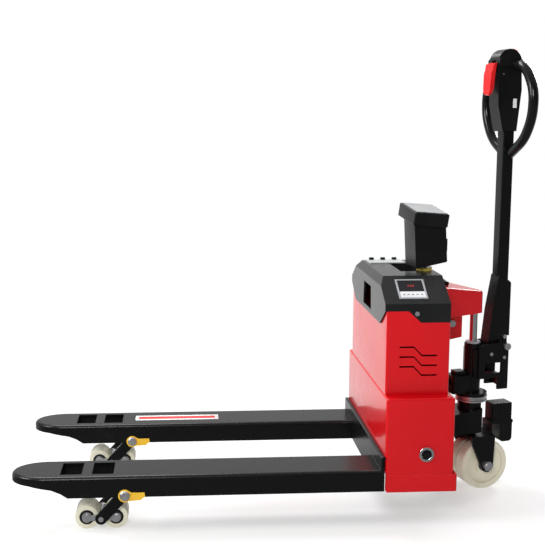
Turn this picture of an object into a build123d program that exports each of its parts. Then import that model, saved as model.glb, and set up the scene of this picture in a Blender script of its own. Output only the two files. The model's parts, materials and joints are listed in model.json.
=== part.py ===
from build123d import *
import math
import os

# Electric weighing pallet truck, forks raised, millimetres, +Z up.
# X runs from the fork tips towards the tiller, Y across the forks, the floor is the lowest face.
# The heel face of the forks is X = 0 and the centre plane is Y = 0 while the parts are drawn.
# The finished parts are moved so that the origin is the middle of the footprint on the floor.

# forks
fork_length = 1150.0
fork_width = 160.0
overall_width = 685.0
raised_height = 180.0
lift_travel = 96.0
fork_depth = 66.0
fork_plate = 6.0
fork_wall = 5.0
fork_edge_radius = 11.0
nose_length = 105.0
nose_thickness = 26.0
nose_run = 170.0
window_length = 66.0
window_width = 104.0
window_from_tip = (185.0, 282.0)
load_cell_length = 120.0
load_cell_width = 30.0
load_cell_height = 24.0
load_cell_places = (560 / 1150, 180 / 1150)
load_cell_margin = 15.0

# roller ends
roller_diameter = 74.0
roller_width = 80.0
roller_pitch = 90.0
roller_bore = 30.0
axle_radius = 8.0
link_plate = 6.0
link_height = 18.0
link_eye_radius = 14.5
arm_plate = 8.0
arm_height = 36.0
arm_reach = 75.0
pivot_from_tip = 350.0
arm_pivot_above_fork_bottom = 5.0
pivot_bolt_radius = 9.0
tab_thickness = 3.0
tab_length = 62.0
lug_thickness = 12.0
pivot_tube_radius = 12.0
rod_bar_height = 30.0
rod_bar_thickness = 10.0
rod_pin_radius = 6.0
rod_slot_room = 9.0

# rocker that ties the lift to the roller arms
shaft_x = 110.0
shaft_z = 215.0
shaft_radius = 20.0
crank_radius = 58.0
crank_thickness = 12.0
rocker_arm_y = 35.0
rocker_arm_thickness = 10.0
rocker_fork_wall = 5.5
rocker_arm_reach = 205.0
trunnion_x = 275.0
trunnion_z = 225.0
trunnion_radius = 10.0
trunnion_slot_room = 4.5

# running clearances
pin_clearance = 0.05
moving_gap = 2.0
cover_gap = 0.3
lid_gap = 0.8

# body
body_rear = 217.0
body_top = 408.0
body_inset = 3.0
sheet = 3.0
skirt_height = 55.0
skirt_step = 12.0
upper_inset = 44.0
upper_front = 6.0
upper_rear = 205.0
upper_top = 672.0
upper_rear_top = 636.0
step_start = 74.0
step_end = 113.0
slot_width = 5.0
slot_count = 3
slot_pitch = 31.0
slot_first_z = 562.0
heel_height = 43.0
heel_thickness = 10.0
heel_rebate = 2.0
heel_side_step = 2.0
heel_weld_gap = 3.6
boss_x = 129.0
boss_z = 231.0
boss_radius = 23.5

# top cover
cover_top = 765.0
cover_shoulder = 695.0
ridge_half_width = 180.0
ridge_x = 15.0
front_chamfer_z = 738.0
front_vee_z = 620.0
front_vee_half_width = 213.0
cover_wall = 3.5
chamfer_wall = 5.0
hand_hole_half_width = 68.0
hand_hole_bottom = 636.0
hand_hole_top = 712.0
well_front = 92.0
well_rear = 168.0
well_half_width = 90.0
well_floor = 722.0
lid_front = 24.0
lid_rear = 150.0
lid_near = 96.0
lid_thickness = 5.0
hinge_radius = 4.0

# inside the body
battery_half_length = 190.0
battery_top = 600.0
shelf_top = 440.0
shelf_thickness = 6.0
shaft_cheek_y = 95.0
shaft_cheek_thickness = 10.0
screw_x = 100.0
screw_z = 664.0
screw_head_radius = 7.0
screw_head_height = 3.0

# scale display on the sloped side
display_x0 = 48.0
display_x1 = 138.0
display_low = 0.16
display_high = 0.84
bezel_height = 4.0

# weighing indicator on its column
mast_x = 176.0
mast_y = -60.0
mast_width = 90.0
mast_yaw = 9.0
mast_swing = 40.0
mast_base_radius = 26.0
mast_base_height = 10.0
mast_pin_radius = 9.0
head_width = 142.0
head_depth = 119.0
head_height = 43.7
head_offset = -4.0
head_top_z = 966.8
head_roll = 8.4
head_pitch = 4.9

# ram and lift head
steer_x = 366.0
rod_radius = 13.0
rod_bottom = 455.0
piston_height = 14.0
rod_seat_depth = 40.0
hood_bottom = 610.0
hood_front_half_width = 120.0
hood_front_x = 215.0
hood_top_front = 716.0
hood_top_rear = 683.0
nose_radius = 27.0
hood_edge_radius = 8.0
web_thickness = 12.0
web_rear = 325.0
web_bottom = 516.0
switch_x = 243.0
switch_y = -12.0
cylinder_radius = 28.5
cylinder_top = 505.0
cylinder_bore = 20.0
gland_height = 6.0

# yoke and thrust bearing
yoke_front = 246.0
yoke_rear = 391.0
yoke_half_width = 60.0
yoke_wall = 10.0
yoke_mouth = 272.0
yoke_corner = 6.0
yoke_boss_radius = 45.0
thrust_z = 307.0
thrust_radius = 54.0
flange_radius = 52.0
flange_thickness = 12.0
thrust_ring = 5.0
ball_radius = 4.0
ball_count = 18
ball_circle = 46.0
spindle_radius = 20.0

# steering unit
steer_yaw = 14.0
steer_limit = 80.0
wheel_radius = 87.0
wheel_width = 46.0
wheel_gap = 8.0
wheel_trail = 33.0
wheel_bore = 24.0
steer_axle_radius = 10.0
crown_z = 180.0
crown_thickness = 12.0
cheek_thickness = 8.0
cheek_gap = 8.0
bracket_y = 40.0
bracket_thickness = 8.0
bracket_top = 503.0
bracket_foot = 346.0
bracket_rear = 113.0
motor_front = 72.0
motor_rear = 148.0
motor_half_width = 27.0
motor_bottom = 228.0
motor_top = 290.0
guard_bottom = 152.0
guard_front = 102.0

# tiller
tilt_u = 106.0
tilt_z = 493.0
tilt_pin_radius = 8.0
tilt_limit = 75.0
sleeve_half_width = 25.0
tube_size = 40.0
tube_front = 76.0
tube_wall = 3.0
tube_bottom = 560.0
tube_top = 1225.0
head_half_width = 28.0
head_bottom = 1215.0
head_top = 1481.0
handle_u = 104.0
handle_half_width = 141.0
handle_tube = 16.0
lever_half_width = 25.0
lever_taper = 4.0
lever_bottom = 1330.0
lever_swing = 4.0
lever_pivot_u = 50.0
lever_pivot_z = 1430.0
lever_pin_radius = 3.0
lever_pin_reach = 16.0
lever_tongue = 6.0
post_front = 64.5
post_thickness = 7.0
button_travel = 4.0
button_front = 90.0
button_rear = 122.0
button_half_width = 22.0

# worked out from the values above
window_centres = [window - fork_length for window in window_from_tip]
arm_pivot_x = pivot_from_tip - fork_length
outer_y = overall_width / 2
fork_y = outer_y - fork_width / 2
fork_bottom = raised_height - fork_depth
fork_roof = raised_height - fork_plate
inner_half = fork_width / 2 - fork_wall
roller_radius = roller_diameter / 2
arm_pivot_z = fork_bottom + arm_pivot_above_fork_bottom
arm_drop = arm_pivot_z - roller_radius
arm_length = math.hypot(arm_reach, arm_drop)
arm_start = math.degrees(math.atan2(-arm_drop, -arm_reach))
arm_end = 180 - math.degrees(math.asin((lift_travel - arm_drop) / arm_length))
arm_turn = (arm_start % 360) - arm_end
rocker_turn = math.degrees(
    math.atan2(trunnion_z + lift_travel - shaft_z, trunnion_x - shaft_x)
    - math.atan2(trunnion_z - shaft_z, trunnion_x - shaft_x)
)
rod_travel = 2 * crank_radius * math.sin(math.radians(rocker_turn / 2))
lug_radius = rod_travel / (2 * math.sin(math.radians(arm_turn / 2)))
tandem_x = arm_pivot_x - arm_reach
upper_y = outer_y - body_inset - upper_inset
body_y = outer_y - body_inset
body_bottom = fork_bottom
heel_top = raised_height + heel_height
slope_angle = math.degrees(math.atan2(cover_top - cover_shoulder, upper_y - ridge_half_width))
slope_length = math.hypot(cover_top - cover_shoulder, upper_y - ridge_half_width)
cheek_y = wheel_gap / 2 + wheel_width + cheek_gap
sides = (("left", -1), ("right", 1))
parts = {}


def block(x0, x1, y0, y1, z0, z1):
    return Pos((x0 + x1) / 2, (y0 + y1) / 2, (z0 + z1) / 2) * Box(x1 - x0, y1 - y0, z1 - z0)


def side_plate(points, y0, y1):
    """Polygon in X and Z, from y0 to y1."""
    plane = Plane(origin=(0, y1, 0), x_dir=(1, 0, 0), z_dir=(0, -1, 0))
    return extrude(plane * make_face(Polyline(*points, close=True)), amount=y1 - y0)


def cross_plate(points, x0, x1):
    """Polygon in Y and Z, from x0 to x1."""
    plane = Plane(origin=(x0, 0, 0), x_dir=(0, 1, 0), z_dir=(1, 0, 0))
    return extrude(plane * make_face(Polyline(*points, close=True)), amount=x1 - x0)


def flat_plate(points, z0, z1):
    """Polygon in X and Y, from z0 to z1."""
    return extrude(Plane.XY.offset(z0) * make_face(Polyline(*points, close=True)), amount=z1 - z0)


def disc_y(x, z, radius, y0, y1):
    return Pos(x, (y0 + y1) / 2, z) * Rot(90, 0, 0) * Cylinder(radius, y1 - y0)


def disc_z(x, y, radius, z0, z1):
    return Pos(x, y, (z0 + z1) / 2) * Cylinder(radius, z1 - z0)


def bar_y(x0, z0, x1, z1, height, y0, y1):
    """Flat bar between two centres in X and Z, with round ends."""
    angle = math.degrees(math.atan2(z1 - z0, x1 - x0))
    length = math.hypot(x1 - x0, z1 - z0)
    middle = Pos((x0 + x1) / 2, (y0 + y1) / 2, (z0 + z1) / 2) * Rot(0, -angle, 0)
    bar = middle * Box(length, y1 - y0, height)
    return bar + disc_y(x0, z0, height / 2, y0, y1) + disc_y(x1, z1, height / 2, y0, y1)


def hexagon_y(x, z, across, y0, y1):
    plane = Plane(origin=(x, y1, z), x_dir=(1, 0, 0), z_dir=(0, -1, 0))
    return extrude(plane * RegularPolygon(across / math.sqrt(3), 6), amount=y1 - y0)


def mirrored(shape):
    return mirror(shape, about=Plane.XZ)


def polar(radius, angle):
    return radius * math.cos(math.radians(angle)), radius * math.sin(math.radians(angle))


def make_fork(side):
    middle = side * fork_y
    straight = block(-fork_length + nose_length, 0, -fork_width / 2, fork_width / 2, 0, fork_depth)
    nose = extrude(Ellipse(nose_length, fork_width / 2), amount=fork_depth)
    outline = straight + Pos(-fork_length + nose_length, 0, 0) * nose
    shell = Pos(0, middle, fork_bottom) * outline
    top_edges = shell.edges().filter_by_position(Axis.Z, raised_height - 0.1, raised_height + 0.1)
    heel_edge = top_edges.filter_by_position(Axis.X, -0.1, 0.1)
    shell = fillet(top_edges - heel_edge, fork_edge_radius)
    rebate = raised_height - heel_rebate
    shell -= block(-heel_thickness, 1, middle - fork_width, middle + fork_width, rebate, raised_height + 1)
    tip = -fork_length - 1
    under = [
        (tip, fork_bottom - 1),
        (tip, raised_height - nose_thickness),
        (tip + nose_run * 0.35, raised_height - nose_thickness - 2),
        (tip + nose_run * 0.75, raised_height - nose_thickness - 14),
        (tip + nose_run * 0.92, fork_bottom + 14),
        (tip + nose_run + 8, fork_bottom - 1),
    ]
    y0 = middle - fork_width
    y1 = middle + fork_width
    shell -= side_plate(under, y0, y1)
    hollow_front = -fork_length + nose_run - 20
    shell -= block(hollow_front, 1, middle - inner_half, middle + inner_half, fork_bottom - 1, fork_roof)
    for centre in window_centres:
        x0 = centre - window_length / 2
        x1 = centre + window_length / 2
        half = window_width / 2
        shell -= block(x0, x1, middle - half, middle + half, fork_roof - 1, raised_height + 1)
    radius = pivot_bolt_radius + pin_clearance
    shell -= disc_y(arm_pivot_x, arm_pivot_z, radius, y0, y1)
    ear_radius = 15.0
    for face in (-1, 1):
        a = middle + face * (fork_width / 2 - fork_wall)
        b = middle + face * fork_width / 2
        ear = disc_y(arm_pivot_x, arm_pivot_z, ear_radius, min(a, b), max(a, b))
        shell += ear - disc_y(arm_pivot_x, arm_pivot_z, radius, y0, y1)
    return shell


def make_fork_fittings():
    bolts = []
    tabs = []
    cells = []
    for _, side in sides:
        middle = side * fork_y
        face = fork_width / 2
        head_y = face + tab_thickness
        bolt = disc_y(arm_pivot_x, arm_pivot_z, pivot_bolt_radius, middle - head_y, middle + head_y)
        for end in (-1, 1):
            inner = middle + end * head_y
            outer = middle + end * (head_y + 7)
            bolt += hexagon_y(arm_pivot_x, arm_pivot_z, 24, min(inner, outer), max(inner, outer))
            a = middle + end * face
            b = middle + end * head_y
            tabs.append(make_tab(min(a, b), max(a, b)))
        bolts.append(bolt)
        for share in load_cell_places:
            x = -fork_length * share
            y1 = middle + inner_half - load_cell_margin
            y0 = y1 - load_cell_width
            z0 = fork_roof - load_cell_height
            cells.append(block(x, x + load_cell_length, y0, y1, z0, fork_roof))
    parts["arm_pivot_bolts"] = Compound(children=bolts)
    parts["lock_tabs"] = Compound(children=tabs)
    parts["load_cells"] = Compound(children=cells)


def make_tab(y0, y1):
    ring = disc_y(arm_pivot_x, arm_pivot_z, 20, y0, y1)
    tail = [
        (arm_pivot_x, arm_pivot_z - 17),
        (arm_pivot_x + tab_length - 14, arm_pivot_z - 14),
        (arm_pivot_x + tab_length, arm_pivot_z - 2),
        (arm_pivot_x + tab_length - 2, arm_pivot_z + 10),
        (arm_pivot_x + 22, arm_pivot_z + 10),
        (arm_pivot_x + 8, arm_pivot_z + 18),
    ]
    hole = disc_y(arm_pivot_x, arm_pivot_z, pivot_bolt_radius, y0 - 1, y1 + 1)
    return ring + side_plate(tail, y0, y1) - hole


def make_roller_end(name, side):
    middle = side * fork_y
    half_roller = roller_width / 2
    link_in = half_roller + 3
    link_out = link_in + link_plate
    arm_in = link_out + moving_gap
    arm_out = arm_in + arm_plate
    pin = rod_pin_radius
    lug_x, lug_z = polar(lug_radius, 90 + arm_turn / 2)
    lug_x += arm_pivot_x
    lug_z += arm_pivot_z
    sleeve_bore = pivot_bolt_radius + pin_clearance
    arm = disc_y(arm_pivot_x, arm_pivot_z, pivot_tube_radius, middle - arm_in, middle + arm_in)
    for end in (-1, 1):
        y0 = middle + min(end * arm_in, end * arm_out)
        y1 = middle + max(end * arm_in, end * arm_out)
        arm += bar_y(arm_pivot_x, arm_pivot_z, tandem_x, roller_radius, arm_height, y0, y1)
    lug_y = middle - lug_thickness
    arm += bar_y(arm_pivot_x, arm_pivot_z, lug_x, lug_z, 22, lug_y, middle)
    arm += disc_y(lug_x, lug_z, pin, lug_y, middle + rod_bar_thickness + 4)
    arm -= disc_y(arm_pivot_x, arm_pivot_z, sleeve_bore, middle - fork_width, middle + fork_width)
    hole = axle_radius + pin_clearance
    arm -= disc_y(tandem_x, roller_radius, hole, middle - fork_width, middle + fork_width)
    parts[f"{name}_roller_arm"] = arm

    links = []
    for end in (-1, 1):
        y0 = middle + min(end * link_in, end * link_out)
        y1 = middle + max(end * link_in, end * link_out)
        half = roller_pitch / 2
        link = bar_y(tandem_x - half, roller_radius, tandem_x + half, roller_radius, link_height, y0, y1)
        for eye_x in (tandem_x - half, tandem_x, tandem_x + half):
            link += disc_y(eye_x, roller_radius, link_eye_radius, y0, y1)
        links.append(link)
    pivot = disc_y(tandem_x, roller_radius, axle_radius, middle - arm_out - 4, middle + arm_out + 4)
    axles = [pivot]
    for offset in (-roller_pitch / 2, roller_pitch / 2):
        axle = disc_y(tandem_x + offset, roller_radius, axle_radius, middle - link_out, middle + link_out)
        for end in (-1, 1):
            inner = middle + end * link_out
            outer = middle + end * (link_out + 1.6)
            a, b = sorted((inner, outer))
            axle += disc_y(tandem_x + offset, roller_radius, axle_radius + 3, a, b)
        axles.append(axle)
    for axle in axles:
        links = [link - axle for link in links]
    bearings = []
    for label, offset in (("front", -roller_pitch / 2), ("rear", roller_pitch / 2)):
        x = tandem_x + offset
        roller = disc_y(x, roller_radius, roller_radius, middle - half_roller, middle + half_roller)
        rims = roller.edges().filter_by(GeomType.CIRCLE)
        roller = fillet(rims, 3)
        bore = roller_bore / 2
        roller -= disc_y(x, roller_radius, bore, middle - half_roller, middle + half_roller)
        bearing = disc_y(x, roller_radius, bore - pin_clearance, middle - link_in, middle + link_in)
        bearings.append(bearing - axles[0] - axles[len(bearings) + 1])
        parts[f"{name}_{label}_roller"] = roller
    parts[f"{name}_tandem_link"] = Compound(children=links + axles + bearings)


def make_push_rod(name, side):
    middle = side * fork_y
    lug_x, lug_z = polar(lug_radius, 90 + arm_turn / 2)
    crank_x, crank_z = polar(crank_radius, -90 - rocker_turn / 2)
    x0 = arm_pivot_x + lug_x
    z0 = arm_pivot_z + lug_z
    x1 = shaft_x + crank_x
    z1 = shaft_z + crank_z
    y0 = middle + 1
    y1 = y0 + rod_bar_thickness
    rod = bar_y(x0, z0, x1, z1, rod_bar_height, y0, y1)
    slot = rod_pin_radius + 0.5
    for x, z in ((x0, z0), (x1, z1)):
        reach = slot + rod_slot_room / 2
        rod -= block(x - slot, x + slot, y0 - 1, y1 + 1, z - reach, z + reach)
    parts[f"{name}_push_rod"] = rod


def make_rocker():
    tube_end = fork_y + crank_thickness
    rocker = disc_y(shaft_x, shaft_z, shaft_radius, -tube_end, tube_end)
    crank_x, crank_z = polar(crank_radius, -90 - rocker_turn / 2)
    for _, side in sides:
        middle = side * fork_y
        y0 = middle - crank_thickness
        x = shaft_x + crank_x
        z = shaft_z + crank_z
        rocker += bar_y(shaft_x, shaft_z, x, z, 24, y0, middle)
        rocker += disc_y(x, z, rod_pin_radius, y0, middle + rod_bar_thickness + 4)
    angle = math.degrees(math.atan2(trunnion_z - shaft_z, trunnion_x - shaft_x))
    tip_x, tip_z = polar(rocker_arm_reach, angle)
    slot_x, slot_z = polar(math.hypot(trunnion_x - shaft_x, trunnion_z - shaft_z), angle)
    slot_height = 2 * (trunnion_radius + trunnion_slot_room)
    for side in (-1, 1):
        y0 = side * rocker_arm_y - rocker_arm_thickness / 2
        y1 = y0 + rocker_arm_thickness
        length = rocker_arm_reach
        height = slot_height + 2 * rocker_fork_wall
        lever = Pos(shaft_x, (y0 + y1) / 2, shaft_z) * Rot(0, -angle, 0) * Pos(length / 2, 0, 0)
        rocker += lever * Box(length, rocker_arm_thickness, height)
        x0 = shaft_x + slot_x
        z0 = shaft_z + slot_z
        room = trunnion_radius + trunnion_slot_room
        rocker -= disc_y(x0, z0, room, y0 - 1, y1 + 1)
        mouth = Pos(shaft_x, (y0 + y1) / 2, shaft_z) * Rot(0, -angle, 0)
        start = math.hypot(slot_x, slot_z)
        rocker -= mouth * Pos((start + length + 2) / 2, 0, 0) * Box(length + 2 - start, 20, 2 * room)
    parts["rocker_shaft"] = rocker


def make_heel():
    half = outer_y - heel_side_step
    plate = block(-heel_thickness, 0, -half, half, raised_height - heel_rebate, heel_top)
    top = block(0, upper_front - heel_weld_gap, -half, half, heel_top - heel_thickness, heel_top)
    heel = plate + top
    edge = heel.edges().filter_by(Axis.Y).sort_by(Axis.Z)[-2:].sort_by(Axis.X)[0]
    heel = fillet(edge, heel_thickness / 2)
    between = outer_y - fork_width - 1
    heel += block(-heel_thickness, 0, -between, between, fork_bottom, raised_height)
    parts["heel_plate"] = heel


def make_lower_body():
    front = 2.4
    outer = block(front, body_rear, -body_y, body_y, body_bottom, body_top)
    outer = fillet(outer.edges().filter_by(Axis.Z), 8)
    top_edges = outer.edges().filter_by_position(Axis.Z, body_top - 0.1, body_top + 0.1)
    outer = fillet(top_edges, 6)
    half = body_y - sheet
    shell = outer - block(front + sheet, body_rear - sheet, -half, half, body_bottom - 1, body_top - sheet)
    half = upper_y - 20
    shell -= block(upper_front + 20, upper_rear - 20, -half, half, body_top - 10, body_top + 10)
    for _, side in sides:
        middle = side * fork_y
        half = inner_half - 2
        shell -= block(-1, front + sheet + 1, middle - half, middle + half, body_bottom - 1, fork_roof)
    rocker_room = rocker_arm_y + rocker_arm_thickness + 8
    shell -= block(body_rear - 20, body_rear + 1, -rocker_room, rocker_room, body_bottom + 55, 350)
    boss_hole = boss_radius - 8
    shell -= disc_y(boss_x, boss_z, boss_hole, -body_y - 1, body_y + 1)
    rail_bottom = body_bottom - 4
    rail_top = rail_bottom + skirt_height
    rail = block(front, body_rear + skirt_step, -outer_y, outer_y, rail_bottom, rail_top)
    rail = fillet(rail.edges().filter_by(Axis.Z), 9)
    rim = rail.edges().filter_by_position(Axis.Z, rail_top - 0.1, rail_top + 0.1)
    rail = chamfer(rim, body_inset - 0.6)
    rail -= block(front - 1, body_rear, -body_y, body_y, body_bottom - 5, body_top)
    rail -= block(front - 1, front + 4, -outer_y - 1, outer_y + 1, body_bottom - 5, body_top)
    parts["lower_body"] = shell + rail


def make_bosses():
    rings = []
    plugs = []
    for _, side in sides:
        a = side * body_y
        b = side * (body_y + 9)
        y0 = min(a, b)
        y1 = max(a, b)
        ring = disc_y(boss_x, boss_z, boss_radius, y0, y1)
        ring -= disc_y(boss_x, boss_z, boss_radius - 8, y0 - 1, y1 + 1)
        outer_edges = ring.edges().filter_by(GeomType.CIRCLE).filter_by_position(Axis.Y, b - 0.1, b + 0.1)
        rings.append(fillet(outer_edges, 2))
        c = side * (body_y - sheet - 6)
        d = side * (body_y + 4)
        plug = disc_y(boss_x, boss_z, boss_radius - 8, min(c, d), max(c, d))
        key = side * (body_y + 8)
        half = 7.5
        square = block(boss_x - half, boss_x + half, min(d, key), max(d, key), boss_z - half, boss_z + half)
        plugs.append(plug + square)
    parts["boss_rings"] = Compound(children=rings)
    parts["boss_plugs"] = Compound(children=plugs)


def upper_outline(inset):
    """Side outline of the narrow box: the top edge steps down towards the rear."""
    return [
        (upper_front + inset, body_top),
        (upper_rear - inset, body_top),
        (upper_rear - inset, upper_rear_top),
        (step_end, upper_rear_top),
        (step_start, upper_top),
        (upper_front + inset, upper_top),
    ]


def make_upper_body():
    outer = side_plate(upper_outline(0), -upper_y, upper_y)
    vertical = outer.edges().filter_by(Axis.Z).filter_by_position(Axis.Z, body_top + 1, upper_top)
    outer = fillet(vertical, 5)
    shell = outer - block(
        upper_front + sheet, upper_rear - sheet,
        -upper_y + sheet, upper_y - sheet,
        body_top - 1, upper_top + 1,
    )
    notch = [
        (-upper_y, upper_top + 1), (-front_vee_half_width, front_vee_z),
        (front_vee_half_width, front_vee_z), (upper_y, upper_top + 1),
    ]
    shell -= cross_plate(notch, upper_front - 1, upper_front + sheet)
    for index in range(slot_count):
        z = slot_first_z - index * slot_pitch
        points = [(48, z), (93, z), (118, z - 27), (166, z - 27)]
        lower = [(x, y - slot_width) for x, y in reversed(points)]
        slot = side_plate(points + lower, -upper_y - 1, upper_y + 1)
        shell -= slot
    parts["upper_body"] = shell


def cover_section(inset):
    """Cross-section of the cover: flat top, sloped sides, short vertical sides."""
    half = upper_y - inset
    ridge = ridge_half_width - inset * 0.6
    top = cover_top - inset
    low = upper_rear_top - 1
    return [
        (-half, low), (-half, cover_shoulder - inset * 0.5), (-ridge, top),
        (ridge, top), (half, cover_shoulder - inset * 0.5), (half, low),
    ]


def chamfer_wedge(front, inset):
    """What the chamfer along the top front edge cuts off, moved inwards for the hollow."""
    far = cover_top + 20
    outline = [
        (front - 1, front_chamfer_z - inset),
        (ridge_x, cover_top - inset),
        (ridge_x + inset * 2, cover_top + 0.1),
        (ridge_x + inset * 2, far), (front - 1, far),
    ]
    return side_plate(outline, -upper_y - 1, upper_y + 1)


def make_cover():
    front = 0.5
    outer = cross_plate(cover_section(0), front, upper_rear)
    outer -= chamfer_wedge(front, 0)
    hollow = cross_plate(cover_section(cover_wall), front + 2 * cover_wall, upper_rear - cover_wall)
    hollow -= chamfer_wedge(front, chamfer_wall)
    shell = outer - hollow
    below = upper_rear_top - 2
    low_box = [
        (front - 1, below), (upper_rear + 1, below), (upper_rear + 1, upper_rear_top),
        (step_end, upper_rear_top), (step_start, upper_top), (front - 1, upper_top),
    ]
    shell -= side_plate(low_box, -upper_y - 1, upper_y + 1)
    face = [
        (-upper_y, upper_top), (-front_vee_half_width, front_vee_z),
        (front_vee_half_width, front_vee_z), (upper_y, upper_top),
    ]
    shell += cross_plate(face, front, upper_front - 0.3)
    mouth = [
        (-hand_hole_half_width, hand_hole_bottom), (hand_hole_half_width, hand_hole_bottom),
        (hand_hole_half_width - 8, hand_hole_top), (-hand_hole_half_width + 8, hand_hole_top),
    ]
    shell -= cross_plate(mouth, front - 1, front + 4 * cover_wall)
    well = block(well_front, well_rear, -well_half_width, well_half_width, well_floor, cover_top + 1)
    tub = block(
        well_front - cover_wall, well_rear + cover_wall, -well_half_width - cover_wall,
        well_half_width + cover_wall, well_floor - cover_wall, cover_top - cover_wall,
    )
    shell = shell + tub - well
    seat_bottom = cover_top - lid_thickness
    seat = block(lid_front, lid_rear, lid_near, ridge_half_width - 6, seat_bottom, cover_top + 1)
    seat_floor = block(
        lid_front - 4, lid_rear + 4,
        lid_near - 4, ridge_half_width - 2,
        cover_top - lid_thickness - 4, cover_top - 1,
    )
    shell = shell + seat_floor - seat
    parts["top_cover"] = shell


def make_lid():
    x0 = lid_front + 1
    x1 = lid_rear - 1
    y0 = lid_near + 1
    y1 = ridge_half_width - 7
    z0 = cover_top - lid_thickness + lid_gap
    lid = block(x0, x1, y0, y1, z0, cover_top + 3)
    lid = fillet(lid.edges().filter_by(Axis.Z), 4)
    knuckle_z = cover_top + 3 + hinge_radius
    knuckle_y = ridge_half_width - 7 - hinge_radius
    clips = []
    for x in (45.0, 85.0, 125.0):
        clip = Pos(x, knuckle_y, knuckle_z) * Rot(0, 90, 0) * Cylinder(hinge_radius, 16)
        clips.append(clip)
        foot = block(x - 6, x + 6, knuckle_y - 9, knuckle_y, cover_top + 3, knuckle_z)
        clips[-1] = clip + foot
    parts["battery_lid"] = lid
    parts["lid_clips"] = Compound(children=clips)


def on_slope(across, lift):
    """Frame on the near sloped side: X along the truck, Y up the slope, Z out of the face."""
    slope = math.radians(slope_angle)
    y = -upper_y + across * math.cos(slope) - lift * math.sin(slope)
    z = cover_shoulder + across * math.sin(slope) + lift * math.cos(slope)
    return Plane(
        origin=(0, y, z),
        x_dir=(1, 0, 0),
        z_dir=(0, -math.sin(slope), math.cos(slope)),
    )


def slope_block(x0, x1, low, high, base, height):
    plane = on_slope((low + high) / 2, base)
    return extrude(plane * Pos((x0 + x1) / 2, 0) * Rectangle(x1 - x0, high - low), amount=height)


def make_display():
    low = slope_length * display_low
    high = slope_length * display_high
    frame = slope_block(display_x0, display_x1, low, high, 0, bezel_height)
    window_low = low + 34
    opening = slope_block(display_x0 + 6, display_x1 - 6, low + 6, high - 6, 1, bezel_height)
    frame -= opening
    glass = slope_block(display_x0 + 6, display_x1 - 6, window_low, high - 6, 1, bezel_height - 1.6)
    strip = slope_block(display_x0 + 6, display_x1 - 6, low + 6, window_low, 1, bezel_height - 2.2)
    keys = []
    for index in range(5):
        x = display_x0 + 12 + index * 14
        keys.append(slope_block(x, x + 10, low + 12, low + 26, bezel_height - 1.2, 0.8))
    parts["display_frame"] = frame
    parts["display_window"] = glass
    parts["key_panel"] = Compound(children=[strip] + keys)


def make_mast():
    base = disc_z(mast_x, mast_y, mast_base_radius, cover_top, cover_top + mast_base_height)
    hole_top = cover_top + mast_base_height + 1
    base -= disc_z(mast_x, mast_y, mast_pin_radius + pin_clearance, cover_top + 3, hole_top)
    parts["mast_base"] = base
    foot = cover_top + mast_base_height + cover_gap
    half = mast_width / 2
    turned = Pos(mast_x, mast_y, 0) * Rot(0, 0, mast_yaw)
    tilted = turned * Pos(0, 0, head_top_z) * Rot(head_roll, head_pitch, 0)
    head = Pos(head_offset, 0, -head_height / 2) * Box(head_depth, head_width, head_height)
    head = fillet(head.edges().filter_by(Axis.Z) + head.edges().filter_by_position(Axis.Z, -0.1, 0.1), 5)
    head = tilted * head
    outline = [
        (-47, foot), (61, foot + 20), (50, head_top_z - 8), (-58, head_top_z - 8),
    ]
    column = side_plate(outline, -half, half)
    low_edges = column.edges().filter_by(Axis.Y).sort_by(Axis.Z)[:2]
    column = fillet(column.edges().filter_by(Axis.Z) + low_edges, 4)
    column += disc_z(0, 0, mast_pin_radius, cover_top + 4, foot + 20)
    column = turned * column - head
    column = column.solids().sort_by(SortBy.VOLUME)[-1]
    socket = block(46, 68, -14, 14, head_top_z - 100, head_top_z - 78)
    plug = block(60, 76, -9, 9, head_top_z - 142, head_top_z - 100)
    plug = turned * (socket + plug) - column
    parts["mast_head"] = head
    parts["head_panel"] = tilted * Pos(head_offset, 0, 0.8) * Box(head_depth - 16, head_width - 16, 1.6)
    parts["mast_column"] = Compound(children=[column, plug.solids().sort_by(SortBy.VOLUME)[-1]])


def make_hood():
    half = hood_front_half_width
    dx = hood_front_x - steer_x
    distance = math.hypot(dx, half)
    tangent = math.atan2(-half, dx) + math.acos(nose_radius / distance)
    tx = steer_x + nose_radius * math.cos(tangent)
    ty = nose_radius * math.sin(tangent)
    outline = flat_plate([(hood_front_x, -half), (tx, ty), (tx, -ty), (hood_front_x, half)], hood_bottom, 760)
    outline += disc_z(steer_x, 0, nose_radius, hood_bottom, 760)
    rear = steer_x + nose_radius
    rise = (hood_top_front - hood_top_rear) / (rear - hood_front_x)
    above = [
        (hood_front_x - 1, hood_top_front + rise),
        (rear + 1, hood_top_rear - rise),
        (rear + 1, 800),
        (hood_front_x - 1, 800),
    ]
    hood = outline - side_plate(above, -half - 1, half + 1)
    rims = hood.faces().sort_by(Axis.Z)[-1].edges()
    hood = fillet(rims, hood_edge_radius)
    hood -= disc_z(steer_x, 0, rod_radius, hood_bottom - 1, hood_bottom + rod_seat_depth)
    web = block(hood_front_x, web_rear, -web_thickness / 2, web_thickness / 2, web_bottom, hood_bottom)
    cut = [
        (hood_front_x + 60, web_bottom - 1),
        (web_rear + 1, web_bottom - 1),
        (web_rear + 1, web_bottom + 10),
    ]
    hood += web - side_plate(cut, -20, 20)
    back = block(upper_rear, hood_front_x, -half, half, web_bottom - 20, hood_top_front - 10)
    parts["lift_head"] = hood + back
    bolt_x = 290.0
    bolt_z = 573.0
    bolt = disc_y(bolt_x, bolt_z, 6, -web_thickness / 2 - 5, web_thickness / 2 + 5)
    bolt += hexagon_y(bolt_x, bolt_z, 22, -web_thickness / 2 - 9, -web_thickness / 2)
    bolt += hexagon_y(bolt_x, bolt_z, 22, web_thickness / 2, web_thickness / 2 + 9)
    parts["lift_head"] -= bolt
    return bolt


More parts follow.
